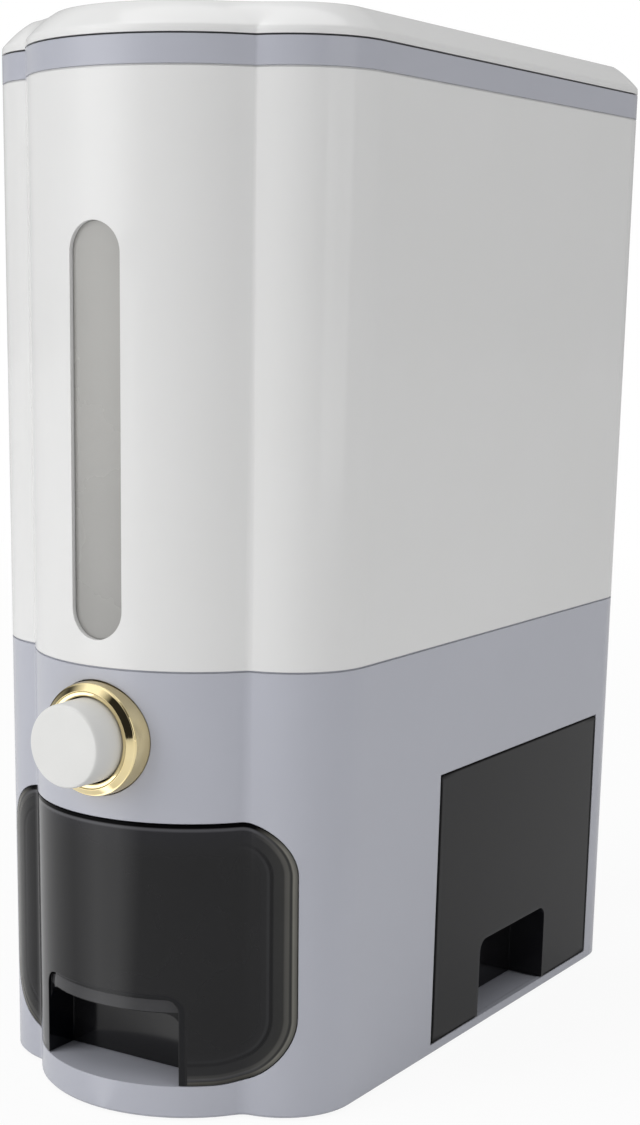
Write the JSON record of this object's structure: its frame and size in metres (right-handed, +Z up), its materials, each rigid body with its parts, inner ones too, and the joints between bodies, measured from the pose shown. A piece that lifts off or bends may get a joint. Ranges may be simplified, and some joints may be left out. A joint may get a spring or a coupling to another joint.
{
  "type": "rice dispenser with drawers",
  "caption": "Household rice dispenser: a tall lidded hopper feeds a push-button gate over a smoked front drawer, with a second drawer in the side of the base",
  "frame": {"origin": "bottom centre of the whole bounding box, on the surface the pads stand on", "axes": "+Z up, front with button and rice drawer faces -Y, side drawer on the +X face"},
  "size_m": [0.1538, 0.3168, 0.384],
  "materials": {
    "grey_abs": "semi-gloss injection-moulded ABS, cool grey",
    "white_abs": "gloss injection-moulded ABS, warm white",
    "white_pp": "satin injection-moulded polypropylene, natural white",
    "frosted_ps": "frosted translucent polystyrene",
    "gold_plate": "polished gold-coloured plating on ABS",
    "cap_white": "satin injection-moulded ABS, neutral white",
    "smoked_ps": "smoked translucent polystyrene, gloss",
    "pom": "acetal, as moulded",
    "rubber_pad": "matt elastomer",
    "silicone": "silicone, matt grey",
    "steel": "bright zinc-plated steel"
  },
  "bodies": {
    "housing": {"base_housing": "grey_abs", "base_plate": "grey_abs", "rubber_feet": "rubber_pad", "base_screws": "steel", "hopper_shell": "white_abs", "level_window": "frosted_ps", "funnel": "white_pp", "top_rim": "grey_abs", "hinge_pins": "steel", "button_ring": "gold_plate", "rod_bush": "pom", "gate_frame": "white_pp", "return_spring": "steel"},
    "lid": {"lid": "white_abs", "lid_gasket": "silicone"},
    "dispense_button": {"button_cap": "cap_white", "push_rod": "pom", "gate_slide": "pom"},
    "rice_drawer": {"drawer_front": "smoked_ps", "drawer_bin": "smoked_ps"},
    "side_drawer": {"side_drawer_front": "smoked_ps", "side_drawer_bin": "smoked_ps"}
  },
  "joints": [
    {"name": "lid_hinge", "type": "hinge", "parent": "housing", "child": "lid", "pos_m": [0, 0.15146, 0.372], "axis": [-1, 0, 0], "range_deg": [0, 100]},
    {"name": "button_press", "type": "slide", "parent": "housing", "child": "dispense_button", "axis": [0, 1, 0], "range_m": [0, 0.0115], "stiffness_N_per_m": 350, "springref_m": -0.005, "deforming": ["return_spring"]},
    {"name": "rice_drawer_slide", "type": "slide", "parent": "housing", "child": "rice_drawer", "axis": [0, -1, 0], "range_m": [0, 0.078]},
    {"name": "side_drawer_slide", "type": "slide", "parent": "housing", "child": "side_drawer", "axis": [1, 0, 0], "range_m": [0, 0.11]}
  ]
}
